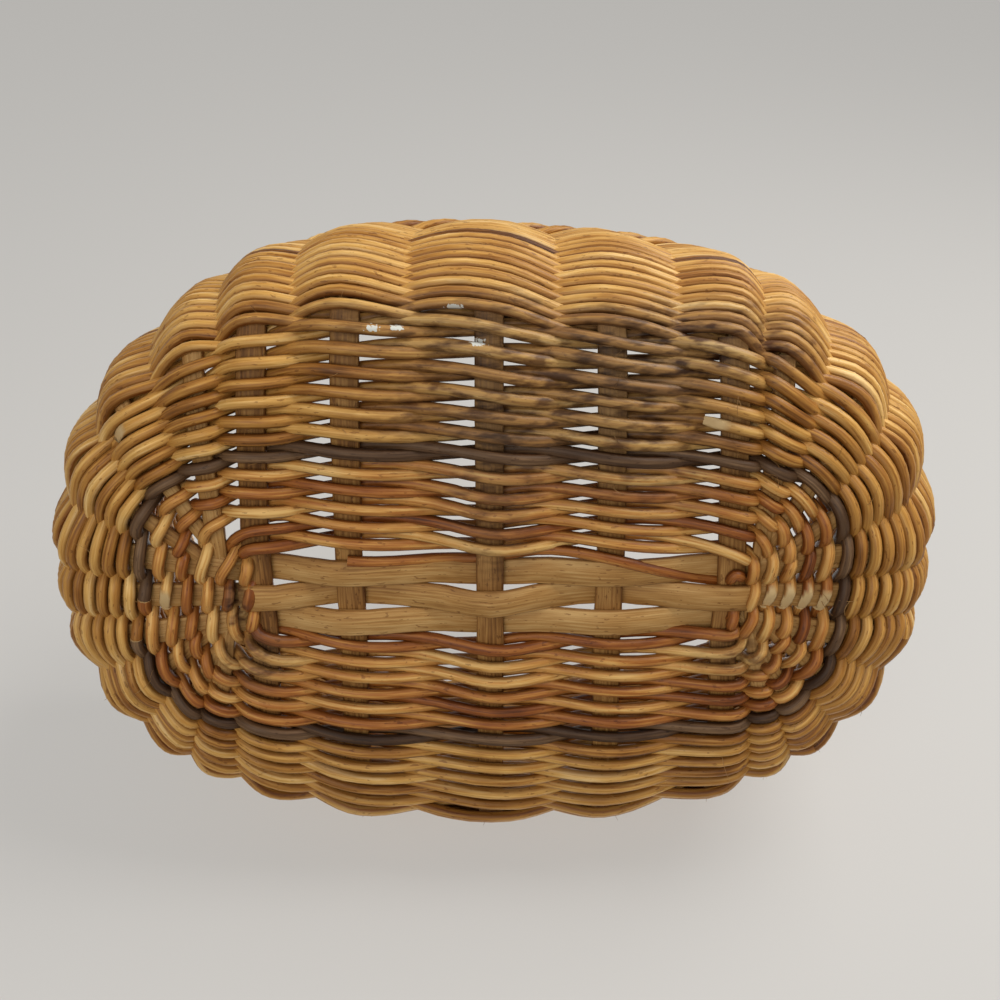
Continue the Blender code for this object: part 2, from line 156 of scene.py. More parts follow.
# Rods of the base: length in sticks, thickness, tints, and how far past a stick an end runs on
BASE_ROD_LENGTHS = (9, 17)
BASE_ROD_SCALES = (0.92, 1.06)
INNER_TINTS = (0.25, 0.90)
DARK_TINTS = (0.35, 0.80)
OUTER_TINTS = (0.28, 0.82)
CUT_REACH = (0.08, 0.16, 0.24, 0.32)
HIDDEN_REACH = (0.15, 0.30, 0.45, 0.60, 0.70)
HIDDEN_DIVE = 0.0075

# Slanted cut where a rod ends in sight
SCARF_LENGTH = 0.010
SCARF_DEPTH_SHARE = 0.85
SCARF_TIP_SCALE = 0.72
CUT_TOLERANCE = 0.00001

# Sweeps: which way is up where a route says nothing, and where in the grain a rod starts
ANY_UP = Vector((0.31, 0.17, 0.93))
GRAIN_STARTS = (0, 9)

# Wall: where its rows start, how they twist and arch over the stakes, and its rods
WALL_ROWS = 25
WALL_BANDS = (("upsett", 0, 5), ("belly", 5, 15), ("upper", 15, 25))
WALL_START = -0.0026
WALL_LENGTH = 0.1212
WALL_SWAY_SHARE = 0.34
WALL_DEPTH_SHARE = 0.92
WALL_ARCH = 0.0017
MID_GAP_PULL = 0.0007
WALL_STRETCH_PARTS = 9
FIRST_WALL_STEP = 3
WALL_ROD_LENGTHS = (17, 33)
WALL_ROD_SCALES = (0.92, 1.05)
WALL_TINTS = (0.4, 0.5, 0.58, 0.64, 0.7, 0.8)
WALL_TINT_WANDER = 0.04
# The one dark rod of the wall: its strand, and the stakes it runs between, counted on
DARK_WALL_ROD = (1, 9 * 28 + 16, 9 * 28 + 27)
DARK_WALL_TINT = 0.12
# Lumps in the slope of the wall: degrees added, middle in degrees round, half width in degrees
WALL_LUMPS = ((6, 215, 40), (-6, 345, 35), (7, 178, 40))

# Stakes and rolled border
STAKE_START = 0.0040
STAKE_PARTS = 14
STAKE_TINTS = (0.35, 0.7)
BORDER_STRANDS = 4
BORDER_RODS = 7
BORDER_PARTS_PER_STAKE = 12
BORDER_TINTS = (0.45, 0.9)

# How far the hand-made rows wander, and how a rod's thickness varies along it
ROW_WANDER = 0.00045
WALL_WANDER_SHARE = 0.8
WALL_WANDERS = 61
DEPTH_WANDER = 0.00020
SWELL_KEPT = 0.8
SWELL_STEP = 0.012
KNOT_CHANCE = 0.035
KNOT_SWELL = 0.08

# Unevenness of the whole basket: sizes of its shifts, and (middle, width) of where they act
PUSHED_IN = 0.0060
PUSHED_IN_X = (0.042, 0.042)
PUSHED_OUT = 0.0040
PUSHED_OUT_X = (-0.090, 0.040)
LEAST_HIGH_SHARE = 0.35
LOW_PART_Z = (0.015, 0.035)
FURTHEST_SHARE = 1.2
MIDDLE_DIP = 0.0030
MIDDLE_DIP_X = (0.0, 0.017)
MIDDLE_DIP_Y = (0.045, 0.014)

# Stray fibres
FIBRE_RADIUS = 0.00014
FIBRE_SIDES = 4
FIBRE_PARTS = 6
FIBRE_BEND = 0.5
FIBRE_TAPER = 0.6
FIBRE_TINTS = (0.4, 0.9)
FIBRE_COUNT = 60
FRAYS_PER_STICK = 7
FRAY_PLACES = (-0.5, 0.5)
FRAY_RISES = (-1, 0.4)
FRAY_SPREADS = (-0.7, 0.7)
FRAY_TILTS = (-0.5, 0.2)
FRAY_LENGTHS = (0.0025, 0.0050)
FIBRE_LENGTHS = (0.004, 0.010)
FIBRE_SPREADS = ((-1, 1), (-1, 1), (-0.35, 0.1))
FIBRE_SHARES = (0.3, 0.97)
FIBRE_ROD_RADII = 1.7
LOWEST_FIBRE = -0.0012

# Colours along each wood's ramp, and those laid over it
GOLDEN = ((0, (0.095, 0.032, 0.006)), (0.28, (0.29, 0.115, 0.019)), (0.55, (0.5, 0.245, 0.052)),
          (0.8, (0.68, 0.395, 0.11)), (1, (0.84, 0.57, 0.24)))
BROWN = ((0, (0.07, 0.018, 0.004)), (0.3, (0.24, 0.07, 0.013)), (0.55, (0.4, 0.15, 0.03)),
         (0.8, (0.6, 0.3, 0.074)), (1, (0.76, 0.48, 0.165)))
DARK = ((0, (0.018, 0.008, 0.003)), (0.45, (0.062, 0.03, 0.013)), (0.75, (0.125, 0.068, 0.032)),
        (1, (0.24, 0.14, 0.066)))
STICK = ((0, (0.11, 0.042, 0.009)), (0.3, (0.26, 0.118, 0.029)), (0.6, (0.42, 0.22, 0.063)),
         (1, (0.6, 0.37, 0.14)))
FRESH_CUT_COLOUR = (0.60, 0.42, 0.20, 1.0)
FLECK_COLOUR = (0.30, 0.18, 0.10, 1.0)
# Painted shade, with some grime, laid in the creases along the sides of the rods
CREASE_SHADE_AND_GRIME_COLOUR = (0.26, 0.12, 0.045, 1.0)
STAIN_COLOUR = (0.22, 0.14, 0.11, 1.0)
GREYED_COLOUR = (0.190, 0.125, 0.062, 1.0)
PAINT_COLOUR = (0.60, 0.61, 0.56, 1.0)

# Grain, in a rod's own frame: scales along and across it, detail, and how much each one counts
STREAKS = ((45, 1100, 1100), 6)
STREAK_SHARE = 1.15
PATCHES = ((38, 90, 90), 3)
PATCH_SHARE = 0.80
FLECKS = ((260, 800, 800), 2)
FLECK_LEVEL = 0.665
FLECK_SHARE = 0.55
# Painted shade and grime in the creases: its strength, and how much is laid evenly besides what
# follows the darker patches
CREASE_SHADE_AND_GRIME_STRENGTH = 0.95
EVEN_SHADE_AND_GRIME = 0.45
SPECULAR = 0.26
ROUGHNESS_SWING = 0.35
ROUGHNESS_DROP = 0.17
BUMP_STRENGTH = 0.85
CANE_ROUGHNESS = 0.40
DARK_ROUGHNESS = 0.46
STICK_ROUGHNESS = 0.58
ROD_GRAIN_DEPTH = 0.00022
STICK_GRAIN_DEPTH = 0.00040

# Old stains on the base: middle, half sizes, strength
STAINS = (
    ((0.01, -0.088, 0.006), (0.05, 0.034, 0.03), 0.85),
    ((0.062, -0.078, 0.006), (0.034, 0.034, 0.03), 0.75),
    ((0.084, -0.106, 0.014), (0.044, 0.015, 0.02), 0.95),
    ((-0.03, -0.114, 0.012), (0.05, 0.01, 0.02), 0.6),
    ((0, -0.05, 0.003), (0.016, 0.04, 0.02), 0.55),
    ((-0.106, 0.002, 0.002), (0.004, 0.01, 0.01), 1),
    ((-0.1, 0.03, 0.002), (0.014, 0.012, 0.01), 0.8),
    ((0.105, 0.028, 0.002), (0.014, 0.01, 0.01), 0.7),
)
BLOTCHES = ((85, 300, 300), 5)
BLOTCH_LEVEL = 0.45
STAIN_REACH = 1.5
STAIN_CONTRAST = 6.0
GREYED_SHARE = 0.42

# Spots of pale paint on the base: middle, half sizes
PAINT_SPOTS = (
    ((-0.0132, -0.12, 0.011), (0.0044, 0.0019, 0.006)),
    ((-0.0445, -0.113, 0.007), (0.0034, 0.0016, 0.006)),
    ((-0.035, -0.113, 0.007), (0.004, 0.0017, 0.006)),
    ((-0.004, -0.1075, 0.006), (0.004, 0.0015, 0.006)),
)
RAGGED_EDGE = ((800, 800, 800), 4)
RAGGED_SHARE = 2.2
PAINT_REACH = 1.80

# Stage and light
STAGE_COLOUR = (0.62, 0.605, 0.58)
STAGE_SHADED_SHARE = 0.42
STAGE_GLOW_SHARE = 0.62
STAGE_HALF_SIZE = 4
WORLD_COLOUR = (1.0, 0.985, 0.96, 1.0)
WORLD_LEVEL = 0.28
WORLD_SEEN_LEVEL = 0.36
# Each lamp's place, target, size, watts and colour
LAMPS = {
    "window": ((0.60, -0.92, -0.05), (0, 0, 0.05), 0.7, 11.0, (1.0, 0.98, 0.95)),
    "room": ((-0.30, -0.40, -1.15), (0, 0, 0.02), 1.0, 7.0, (1.0, 0.97, 0.94)),
    "ceiling": ((0.2, 0.50, 1.15), (0, 0, 0.05), 0.7, 8.0, (1.0, 0.98, 0.96)),
    "behind": ((0.3, 1.1, 0.35), (0, 0, 0.06), 0.9, 5.0, (1.0, 0.98, 0.95)),
}

# Camera: where the photograph was taken from, and the plane that the basket leans on there
PICTURE_PIXELS = 1000
FOCAL_PIXELS = 1000
SENSOR_MILLIMETRES = 36
CAMERA_PLACE = Vector((0.0042, -0.198, -0.369))
CAMERA_TILT = math.radians(22.5)
CAMERA_NEAR = 0.01
LEAN_NORMAL = Vector((0, -0.964, -0.267))

# Sockets of Blender's colour mix node
MIX_BELOW, MIX_ABOVE, MIX_RESULT = 6, 7, 2


def signed_power(value, exponent):
    return math.copysign(abs(value) ** exponent, value)


def hill(value, middle, width):
    """1 at the middle, falling smoothly to 0 on both sides."""
    return math.exp(-((value - middle) / width) ** 2)


def hill_beyond(value, middle, width):
    """1 up to the middle, falling smoothly to 0 beyond it."""
    return hill(max(value, middle), middle, width)


def between(first, second, share):
    return first * (1 - share) + second * share


def smooth_between(before, start, end, after, t):
    """Point of a Catmull-Rom curve from start to end."""
    a = start * 2
    b = (end - before) * t
    c = (before * 2 - start * 5 + end * 4 - after) * t ** 2
    d = (start * 3 - before - end * 3 + after) * t ** 3
    return (a + b + c + d) * 0.5


def smoothed(route, passes):
    """Even out a route's small corners, with its ends kept."""
    route = list(route)
    for _ in range(passes):
        inner = [(a + b * 2 + c) / 4 for a, b, c in zip(route, route[1:], route[2:])]
        route = [route[0], *inner, route[-1]]
    return route


def direction_at(route, index):
    """Direction of a route of points at one of them."""
    last = len(route) - 1
    return (route[min(index + 1, last)] - route[max(index - 1, 0)]).normalized()


def outline_point(turn):
    """Point of the base oval at an angle, as a superellipse."""
    x = BASE_HALF_LENGTH * signed_power(math.cos(turn), 2 / OVAL_SQUARENESS)
    y = BASE_HALF_WIDTH * signed_power(math.sin(turn), 2 / OVAL_SQUARENESS)
    return Vector((x, y, 0))


def outline_normal(turn):
    point = outline_point(turn)
    x = signed_power(point.x / BASE_HALF_LENGTH, OVAL_SQUARENESS - 1) / BASE_HALF_LENGTH
    y = signed_power(point.y / BASE_HALF_WIDTH, OVAL_SQUARENESS - 1) / BASE_HALF_WIDTH
    return Vector((x, y, 0)).normalized()


def outline_turn(end_share, side_y):
    """Angle of the outline where x is this share of the half length, on one long side."""
    turn = math.acos(min(1.0, abs(end_share)) ** (OVAL_SQUARENESS / 2))
    if end_share < 0:
        turn = math.pi - turn
    return turn if side_y > 0 else 2 * math.pi - turn


def row_half_length(share):
    """Half length of the oval that a row follows; the rows crowd together towards the edge."""
    if share < DARK_SHARE:
        return LOOP_HALF_LENGTH + (DARK_HALF_LENGTH - LOOP_HALF_LENGTH) * share / DARK_SHARE
    left = max(0.0, (1 - share) / (1 - DARK_SHARE))
    return BASE_HALF_LENGTH - (BASE_HALF_LENGTH - DARK_HALF_LENGTH) * left ** END_CROWDING_POWER


class Spoke:
    """Half of a stick that runs from the middle part of the base to its edge."""

    def __init__(self, kind, start, end_share, side_y, width, joins_at):
        self.kind = kind
        self.turn = outline_turn(end_share, side_y)
        self.start = Vector((*start, 0))
        self.run = outline_point(self.turn) - self.start
        self.width = width
        self.joins_at = joins_at

    def point(self, share):
        """Middle of the stick where the row at this share of the way out crosses it."""
        half_length = row_half_length(share)
        inner = max(0.0, 1 - max(share, 0.0) / DARK_SHARE)
        half_length += LOOP_SHIFTS[1 if self.run.x > 0 else -1] * inner
        half_width = LOOP_HALF_WIDTH + (BASE_HALF_WIDTH - LOOP_HALF_WIDTH) * share
        boxiness = max(0.0, 1 - share) ** LOOP_ROUNDING_POWER
        squareness = OVAL_SQUARENESS + (LOOP_SQUARENESS - OVAL_SQUARENESS) * boxiness
        low, high = SEARCH_SHARES
        for _ in range(HALVINGS):
            middle = (low + high) / 2
            place = self.start + self.run * middle
            reach = abs(place.x / half_length) ** squareness
            reach += abs(place.y / half_width) ** squareness
            low, high = (middle, high) if reach < 1 else (low, middle)
        place = self.start + self.run * high
        rising = max(0.0, (share - FLAT_ZONE_SHARE) / (1 - FLAT_ZONE_SHARE))
        place.z = BASE_MIDDLE_HEIGHT + BASE_EDGE_RISE * rising ** 2
        return place

    def normal(self, share):
        """Direction square to the stick's flat, pointing into the basket."""
        step = self.point(share) - self.point(share - SLOPE_STEP)
        level = Vector((step.x, step.y, 0))
        return Vector((-step.z * step.x, -step.z * step.y, level.length_squared)).normalized()

    def outward(self, share):
        """Direction along the stick to the edge of the base."""
        return (self.point(share + SLOPE_STEP) - self.point(share - SLOPE_STEP)).normalized()


def short_spoke(share, side_y):
    """Half of a short stick; share is its place along the basket."""
    start = (share * BASE_HALF_LENGTH, side_y * LOOP_HALF_WIDTH)
    end_share = share * (1 + SPLAY_SHARE * side_y)
    return Spoke("short", start, end_share, side_y, SHORT_STICK_WIDTH, JOINS_AT_ONCE)


def corner_spokes(side_x, side_y):
    """The corner stick and the two fan sticks of one quarter, from the long side round."""
    corner_end = side_x * CORNER_END_SHARE * (1 + SPLAY_SHARE * side_y)
    corner_start = (side_x * CORNER_START[0], side_y * CORNER_START[1])
    spokes = [Spoke("corner", corner_start, corner_end, side_y,
                    CORNER_STICK_WIDTH, CORNER_JOINS_AT_SHARE)]
    for (start_x, start_y), end_share in zip(FAN_STARTS, FAN_END_SHARES):
        spokes.append(Spoke("fan", (side_x * start_x, side_y * start_y), side_x * end_share,
                            side_y, FAN_STICK_WIDTH, FAN_JOINS_AT_SHARE))
    return spokes


def long_spoke(side_x, row):
    """End of a long stick; row is -1, 0 or 1 across the basket."""
    start = (side_x * LOOP_HALF_LENGTH, row * LONG_STICK_PITCH)
    end_share = side_x * (LONG_STICK_END_SHARE if row else 1.0)
    return Spoke("long", start, end_share, row if row else 1, LONG_STICK_END_WIDTH, JOINS_AT_ONCE)


def all_spokes():
    """The twenty-eight stick ends in order round the base, from the middle of the +X end."""
    return [long_spoke(1, 0), long_spoke(1, 1), *reversed(corner_spokes(1, 1)),
            *(short_spoke(share, 1) for share in reversed(SHORT_STICK_SHARES)),
            *corner_spokes(-1, 1), *(long_spoke(-1, row) for row in (1, 0, -1)),
            *reversed(corner_spokes(-1, -1)),
            *(short_spoke(share, -1) for share in SHORT_STICK_SHARES),
            *corner_spokes(1, -1), long_spoke(1, -1)]


SPOKES = all_spokes()
SPOKE_COUNT = len(SPOKES)
# Steps, one for each stick crossed, where a rod's cut end or start is in sight
CUTS_AT_ROD_END = tuple(SPOKE_COUNT * turn for turn in (2, 3, 4, 5))
CUTS_AT_ROD_START = (SPOKE_COUNT * 3 // 2, SPOKE_COUNT * 9 // 2,
                     SPOKE_COUNT * 10 + 17, SPOKE_COUNT * 7 + 23)


def hand_made(point):
    """Shift a point by the unevenness of the photographed basket, a few millimetres.

    Its upper side is pushed in right of the middle and out at the left, and the rows dip where
    they cross the middle stick.
    """
    low = LEAST_HIGH_SHARE + (1 - LEAST_HIGH_SHARE) * hill_beyond(point.z, *LOW_PART_Z)
    reach = min(FURTHEST_SHARE, max(0.0, -point.y) / BASE_HALF_WIDTH) ** 2 * low
    shift = PUSHED_IN * hill(point.x, *PUSHED_IN_X) * reach
    shift -= PUSHED_OUT * hill(point.x, *PUSHED_OUT_X) * reach
    shift += MIDDLE_DIP * hill(point.x, *MIDDLE_DIP_X) * hill_beyond(abs(point.y), *MIDDLE_DIP_Y)
    return point + Vector((0, shift, 0))


def new_object(name, data):
    made = bpy.data.objects.new(name, data)
    bpy.context.scene.collection.objects.link(made)
    return made


class Sweeps:
    """Rods and sticks swept along their routes and gathered into one piece.

    Every vertex keeps where it lies in its own rod (along it, and across it) for the grain, the
    rod's own tint, whether it is on a cut end, and how far down the rod's side it is, for the
    painted shade and grime in the creases between rods.
    """

    def __init__(self):
        self.vertices, self.faces, self.lay = [], [], []
        self.values = {"tint": [], "cut": [], "crevice": []}

    def add_vertex(self, place, lay, **values):
        self.vertices.append(place)
        self.lay.append(lay)
        for label, value in values.items():
            self.values[label].append(value)

    def add(self, route, section, ups=None, tint=0.5, scales=None, scarfs=(0.0, 0.0)):
        """Sweep a section, a list of (across, up) pairs, along a route of points.

        A scarf is a slanted cut of this length at the start or the end, facing away from up.
        """
        route = [hand_made(point) for point in route]
        count = len(section)
        last = len(route) - 1
        up = ANY_UP
        offset = random.Random(len(self.vertices)).uniform(*GRAIN_STARTS)
        along = 0.0
        base = len(self.vertices)
        whole = sum((there - here).length for here, there in zip(route, route[1:]))
        lowest = min(rise for across, rise in section)
        highest = max(rise for across, rise in section)
        for index, point in enumerate(route):
            tangent = direction_at(route, index)
            if ups:
                up = ups[index]
            up = (up - tangent * up.dot(tangent)).normalized()
            side = tangent.cross(up)
            scale = scales[index] if scales else 1.0
            if index:
                along += (point - route[index - 1]).length
            cut_rise = lowest
            for scarf, away in zip(scarfs, (along, whole - along)):
                if scarf and away < scarf:
                    nearness = 1 - away / scarf
                    cut_rise = -lowest * ((1 + SCARF_DEPTH_SHARE) * nearness - 1)
                    scale *= between(SCARF_TIP_SCALE, 1, math.sqrt(away / scarf))
            for across, rise in section:
                cut = float(rise < cut_rise - CUT_TOLERANCE)
                rise = max(rise, cut_rise)
                # The mask for painted shade and grime is 1 at the rod's sides and 0 at its top and
                # bottom
                self.add_vertex(point + side * (across * scale) + up * (rise * scale),
                                (along + offset, across, rise), tint=tint, cut=cut,
                                crevice=max(0.0, 1 - abs(rise) / highest))
        for ring in range(last):
            here = base + ring * count
            for corner in range(count):
                after = (corner + 1) % count
                self.faces.append((here + corner, here + count + corner,
                                   here + count + after, here + after))
        for ring, order in ((0, 1), (last, -1)):
            start = len(self.vertices)
            first = base + ring * count
            for edge in range(first, first + count):
                self.add_vertex(self.vertices[edge].copy(), self.lay[edge],
                                tint=tint, cut=1.0, crevice=0.0)
            self.faces.append(tuple(range(start, start + count))[::order])

    def finish(self, name, material, nodes):
        """Make one piece of all that was swept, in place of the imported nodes."""
        mesh = bpy.data.meshes.new(name)
        mesh.from_pydata([tuple(v) for v in self.vertices], [], self.faces)
        mesh.polygons.foreach_set("use_smooth", [True] * len(mesh.polygons))
        lay = mesh.attributes.new("lay", "FLOAT_VECTOR", "POINT")
        lay.data.foreach_set("vector", [value for row in self.lay for value in row])
        for label, values in self.values.items():
            layer = mesh.attributes.new(label, "FLOAT", "POINT")
            layer.data.foreach_set("value", values)
        mesh.materials.append(material)
        piece = new_object(name, mesh)
        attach(piece, "root")
        if nodes:
            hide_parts(*nodes)


def round_section(radius, sides):
    turns = [2 * math.pi * side / sides for side in range(sides)]
    return [(radius * math.cos(turn), radius * math.sin(turn)) for turn in turns]


def flat_section(width, thickness):
    """A split stick: flat inside, a little crowned outside, with worn corners."""
    half, rise = width / 2, thickness / 2
    worn = rise * WORN_CORNER_SHARE
    return [(half, -rise + worn), (half, rise - worn), (half - worn, rise), (0, rise),
            (worn - half, rise), (-half, rise - worn), (-half, -rise + worn),
            (worn - half, -rise), (0, -rise * CROWN_SHARE), (half - worn, -rise)]


def node(tree, kind, inputs=None, **values):
    """A shader node with its settings and its input sockets filled in."""
    made = tree.nodes.new("ShaderNode" + kind)
    for label, value in values.items():
        setattr(made, label, value)
    for socket, value in (inputs or {}).items():
        made.inputs[socket].default_value = value
    return made


def link(tree, source, target, socket):
    """Feed a socket from a (node, output) pair."""
    made, output = source
    tree.links.new(made.outputs[output], target.inputs[socket])


def maths(tree, operation, first, second, clamp=False):
    """Result of a maths node; each value is a number or a (node, output) pair."""
    made = node(tree, "Math", operation=operation, use_clamp=clamp)
    for socket, value in enumerate((first, second)):
        if isinstance(value, tuple):
            link(tree, value, made, socket)
        else:
            made.inputs[socket].default_value = value
    return made, 0


def mixed(tree, blend, factor, below, above):
    """A colour laid over another one that comes from a (node, output) pair."""
    made = node(tree, "Mix", {MIX_ABOVE: above}, data_type="RGBA", blend_type=blend)
    link(tree, factor, made, "Factor")
    link(tree, below, made, MIX_BELOW)
    return made, MIX_RESULT


def noise(tree, space, scale, detail):
    """Noise in a space of points, drawn out where a scale is small."""
    mapping = node(tree, "Mapping", {"Scale": scale})
    link(tree, space, mapping, "Vector")
    made = node(tree, "TexNoise", {"Scale": 1.0, "Detail": detail})
    link(tree, (mapping, "Vector"), made, "Vector")
    return made, "Fac"


def swing(tree, source, share):
    """Noise moved to lie about zero, and made larger or smaller."""
    centred = maths(tree, "SUBTRACT", source, 0.5)
    return maths(tree, "MULTIPLY", centred, share)


def spot_distance(tree, where, place, stretch):
    """Distance from a place on the basket, in a space stretched along the axes."""
    mapping = node(tree, "Mapping", {"Location": place, "Scale": stretch}, vector_type="TEXTURE")
    link(tree, where, mapping, "Vector")
    length = node(tree, "VectorMath", operation="LENGTH")
    link(tree, (mapping, "Vector"), length, 0)
    return length, "Value"


def with_stains(tree, where, colour):
    """Lay the base's old stains over a colour, each greyed evenly and darkened in blotches."""
    blotch = noise(tree, where, *BLOTCHES)
    uneven = maths(tree, "SUBTRACT", blotch, BLOTCH_LEVEL, clamp=True)
    for place, stretch, most in STAINS:
        away = spot_distance(tree, where, place, stretch)
        nearness = maths(tree, "SUBTRACT", STAIN_REACH, away, clamp=True)
        strength = maths(tree, "MULTIPLY", nearness, uneven)
        strength = maths(tree, "MULTIPLY", strength, STAIN_CONTRAST, clamp=True)
        strength = maths(tree, "MULTIPLY", strength, most)
        greyed = maths(tree, "MULTIPLY", nearness, most * GREYED_SHARE)
        colour = mixed(tree, "MIX", greyed, colour, GREYED_COLOUR)
        colour = mixed(tree, "MULTIPLY", strength, colour, STAIN_COLOUR)
    return colour


def with_paint(tree, where, colour):
    """Lay the ragged spots of pale paint over a colour."""
    ragged = noise(tree, where, *RAGGED_EDGE)
    ragged = maths(tree, "MULTIPLY", ragged, RAGGED_SHARE)
    for place, stretch in PAINT_SPOTS:
        away = spot_distance(tree, where, place, stretch)
        away = maths(tree, "ADD", away, ragged)
        inside = maths(tree, "LESS_THAN", away, PAINT_REACH)
        colour = mixed(tree, "MIX", inside, colour, PAINT_COLOUR)
    return colour


def wood_material(name, colours, roughness, grain_depth, stained=True):
    """Cane or split wood: a tint for each rod, streaks along it, darker patches, painted shade and
    grime along the sides of each rod, and old stains.
    """
    material = bpy.data.materials.new(name)
    material.use_nodes = True
    tree = material.node_tree
    shader = tree.nodes["Principled BSDF"]
    shader.inputs["Specular IOR Level"].default_value = SPECULAR
    lay = (node(tree, "Attribute", attribute_name="lay"), "Vector")
    tint, cut, crevice = ((node(tree, "Attribute", attribute_name=label), "Fac")
                          for label in ("tint", "cut", "crevice"))
    streaks = noise(tree, lay, *STREAKS)
    patches = noise(tree, lay, *PATCHES)
    both = maths(tree, "ADD", swing(tree, streaks, STREAK_SHARE),
                 swing(tree, patches, PATCH_SHARE))
    tone = maths(tree, "ADD", both, tint, clamp=True)
    ramp = node(tree, "ValToRGB")
    elements = ramp.color_ramp.elements
    while len(elements) < len(colours):
        elements.new(0.5)
    for element, (place, shade) in zip(elements, colours):
        element.position = place
        element.color = (*shade, 1.0)
    link(tree, tone, ramp, "Fac")
    # Painted shade, with some grime, darkens the sides of each rod, more in the darker patches
    uneven_shade_and_grime = maths(tree, "ADD", patches, EVEN_SHADE_AND_GRIME)
    shade_and_grime = maths(tree, "MULTIPLY", crevice, uneven_shade_and_grime, clamp=True)
    shade_and_grime = maths(tree, "MULTIPLY", shade_and_grime, CREASE_SHADE_AND_GRIME_STRENGTH)
    colour = mixed(tree, "MULTIPLY", shade_and_grime, (ramp, "Color"), CREASE_SHADE_AND_GRIME_COLOUR)
    fleck = maths(tree, "GREATER_THAN", noise(tree, lay, *FLECKS), FLECK_LEVEL)
    fleck = maths(tree, "MULTIPLY", fleck, FLECK_SHARE)
    colour = mixed(tree, "MULTIPLY", fleck, colour, FLECK_COLOUR)
    if stained:
        where = (node(tree, "TexCoord"), "Object")
        colour = with_paint(tree, where, with_stains(tree, where, colour))
    colour = mixed(tree, "MIX", cut, colour, FRESH_CUT_COLOUR)
    link(tree, colour, shader, "Base Color")
    gloss = maths(tree, "MULTIPLY", streaks, ROUGHNESS_SWING)
    rough = maths(tree, "ADD", gloss, roughness - ROUGHNESS_DROP)
    link(tree, rough, shader, "Roughness")
    relief = node(tree, "Bump", {"Strength": BUMP_STRENGTH, "Distance": grain_depth})
    link(tree, streaks, relief, "Height")
    link(tree, (relief, "Normal"), shader, "Normal")
    return material


golden_cane = wood_material("golden_cane", GOLDEN, CANE_ROUGHNESS, ROD_GRAIN_DEPTH)
brown_cane = wood_material("brown_cane", BROWN, CANE_ROUGHNESS, ROD_GRAIN_DEPTH)
dark_cane = wood_material("dark_cane", DARK, DARK_ROUGHNESS, ROD_GRAIN_DEPTH, stained=False)
split_wood = wood_material("split_wood", STICK, STICK_ROUGHNESS, STICK_GRAIN_DEPTH)


def sagging_share(share, turn):
    """Rows of the upper right quarter lie closer to the middle than elsewhere."""
    nearness = max(0.0, math.cos(turn - SAG_TURN))
    return share - SAG_SHARE * 4 * share * (1 - share) * nearness ** 2


def base_crossings(strand):
    """Where one strand of the base meets each stick: place, directions, side, rise and sway."""
    chance = random.Random(SEED + strand)
    last = int((LAST_TURN + FIRST_TURN) * SPOKE_COUNT)
    crossings = []
    for step in range(min(FIRST_STEPS), last):
        spoke = SPOKES[step % SPOKE_COUNT]
        share = (step / SPOKE_COUNT - FIRST_TURN) / ROW_SPACES
        if share < spoke.joins_at:
            continue
        share = sagging_share(share, spoke.turn)
        outward = spoke.outward(share)
        pitch = (spoke.point(share + 1 / ROW_SPACES) - spoke.point(share)).length
        wander = chance.uniform(-1, 1) * ROW_WANDER
        lift = SHORT_STICK_THICKNESS / 2 + BASE_ROD_RADIUS * ROD_HEIGHT_SHARE
        crossings.append({
            "step": step,
            "place": spoke.point(share) + outward * wander,
            "square": spoke.normal(share),
            "outward": outward,
            "side": OUTSIDE if (len(crossings) + strand) % 2 == 0 and step else INSIDE,
            "rise": lift + chance.uniform(0, 1) * DEPTH_WANDER,
            "sway": min(BASE_ROD_RADIUS * SWAY_RADIUS_SHARE, pitch * SWAY_PITCH_SHARE),
            "half": spoke.width / 2,
        })
    return [crossing for crossing in crossings if crossing["step"] >= FIRST_STEPS[strand]]


def strand_point(crossings, index, t):
    """Point of a strand on its way from one crossing to the next, and its square direction."""
    here, there = crossings[index], crossings[index + 1]
    before = crossings[max(index - 1, 0)]["place"]
    after = crossings[min(index + 2, len(crossings) - 1)]["place"]
    gap = (there["place"] - here["place"]).length
    width_share = between(here["half"], there["half"], t) / gap
    wideness = min(1.0, max(0.0, (width_share - ROUND_PATH_SHARE) / SQUARE_PATH_SPAN))
    squareness = LEAST_PATH_SQUARENESS + PATH_SQUARENESS * wideness
    depth = math.tanh(squareness * math.cos(math.pi * t)) / math.tanh(squareness)
    sway = math.sin(math.pi * t) * (1 if here["side"] == INSIDE else -1)
    square = here["square"].lerp(there["square"], t).normalized()
    outward = here["outward"].lerp(there["outward"], t).normalized()
    rise = between(here["rise"], there["rise"], t)
    reach = between(here["sway"], there["sway"], t)
    reach *= min(1.0, max(CLOSE_SWAY_SHARE, gap / FULL_SWAY_GAP))
    point = smooth_between(before, here["place"], there["place"], after, t)
    return point + square * (here["side"] * depth * rise) + outward * (sway * reach), square


def free_end(crossing):
    """Stops of a rod that runs on past a crossing: share of the stretch, and depth of its dive.

    A hidden end dives into the basket, so that it doesn't show past the other rod's cut.
    """
    if crossing["side"] == OUTSIDE:
        return [(share, 0.0) for share in CUT_REACH]
    return [(share, HIDDEN_DIVE * (share - HIDDEN_REACH[0])) for share in HIDDEN_REACH]


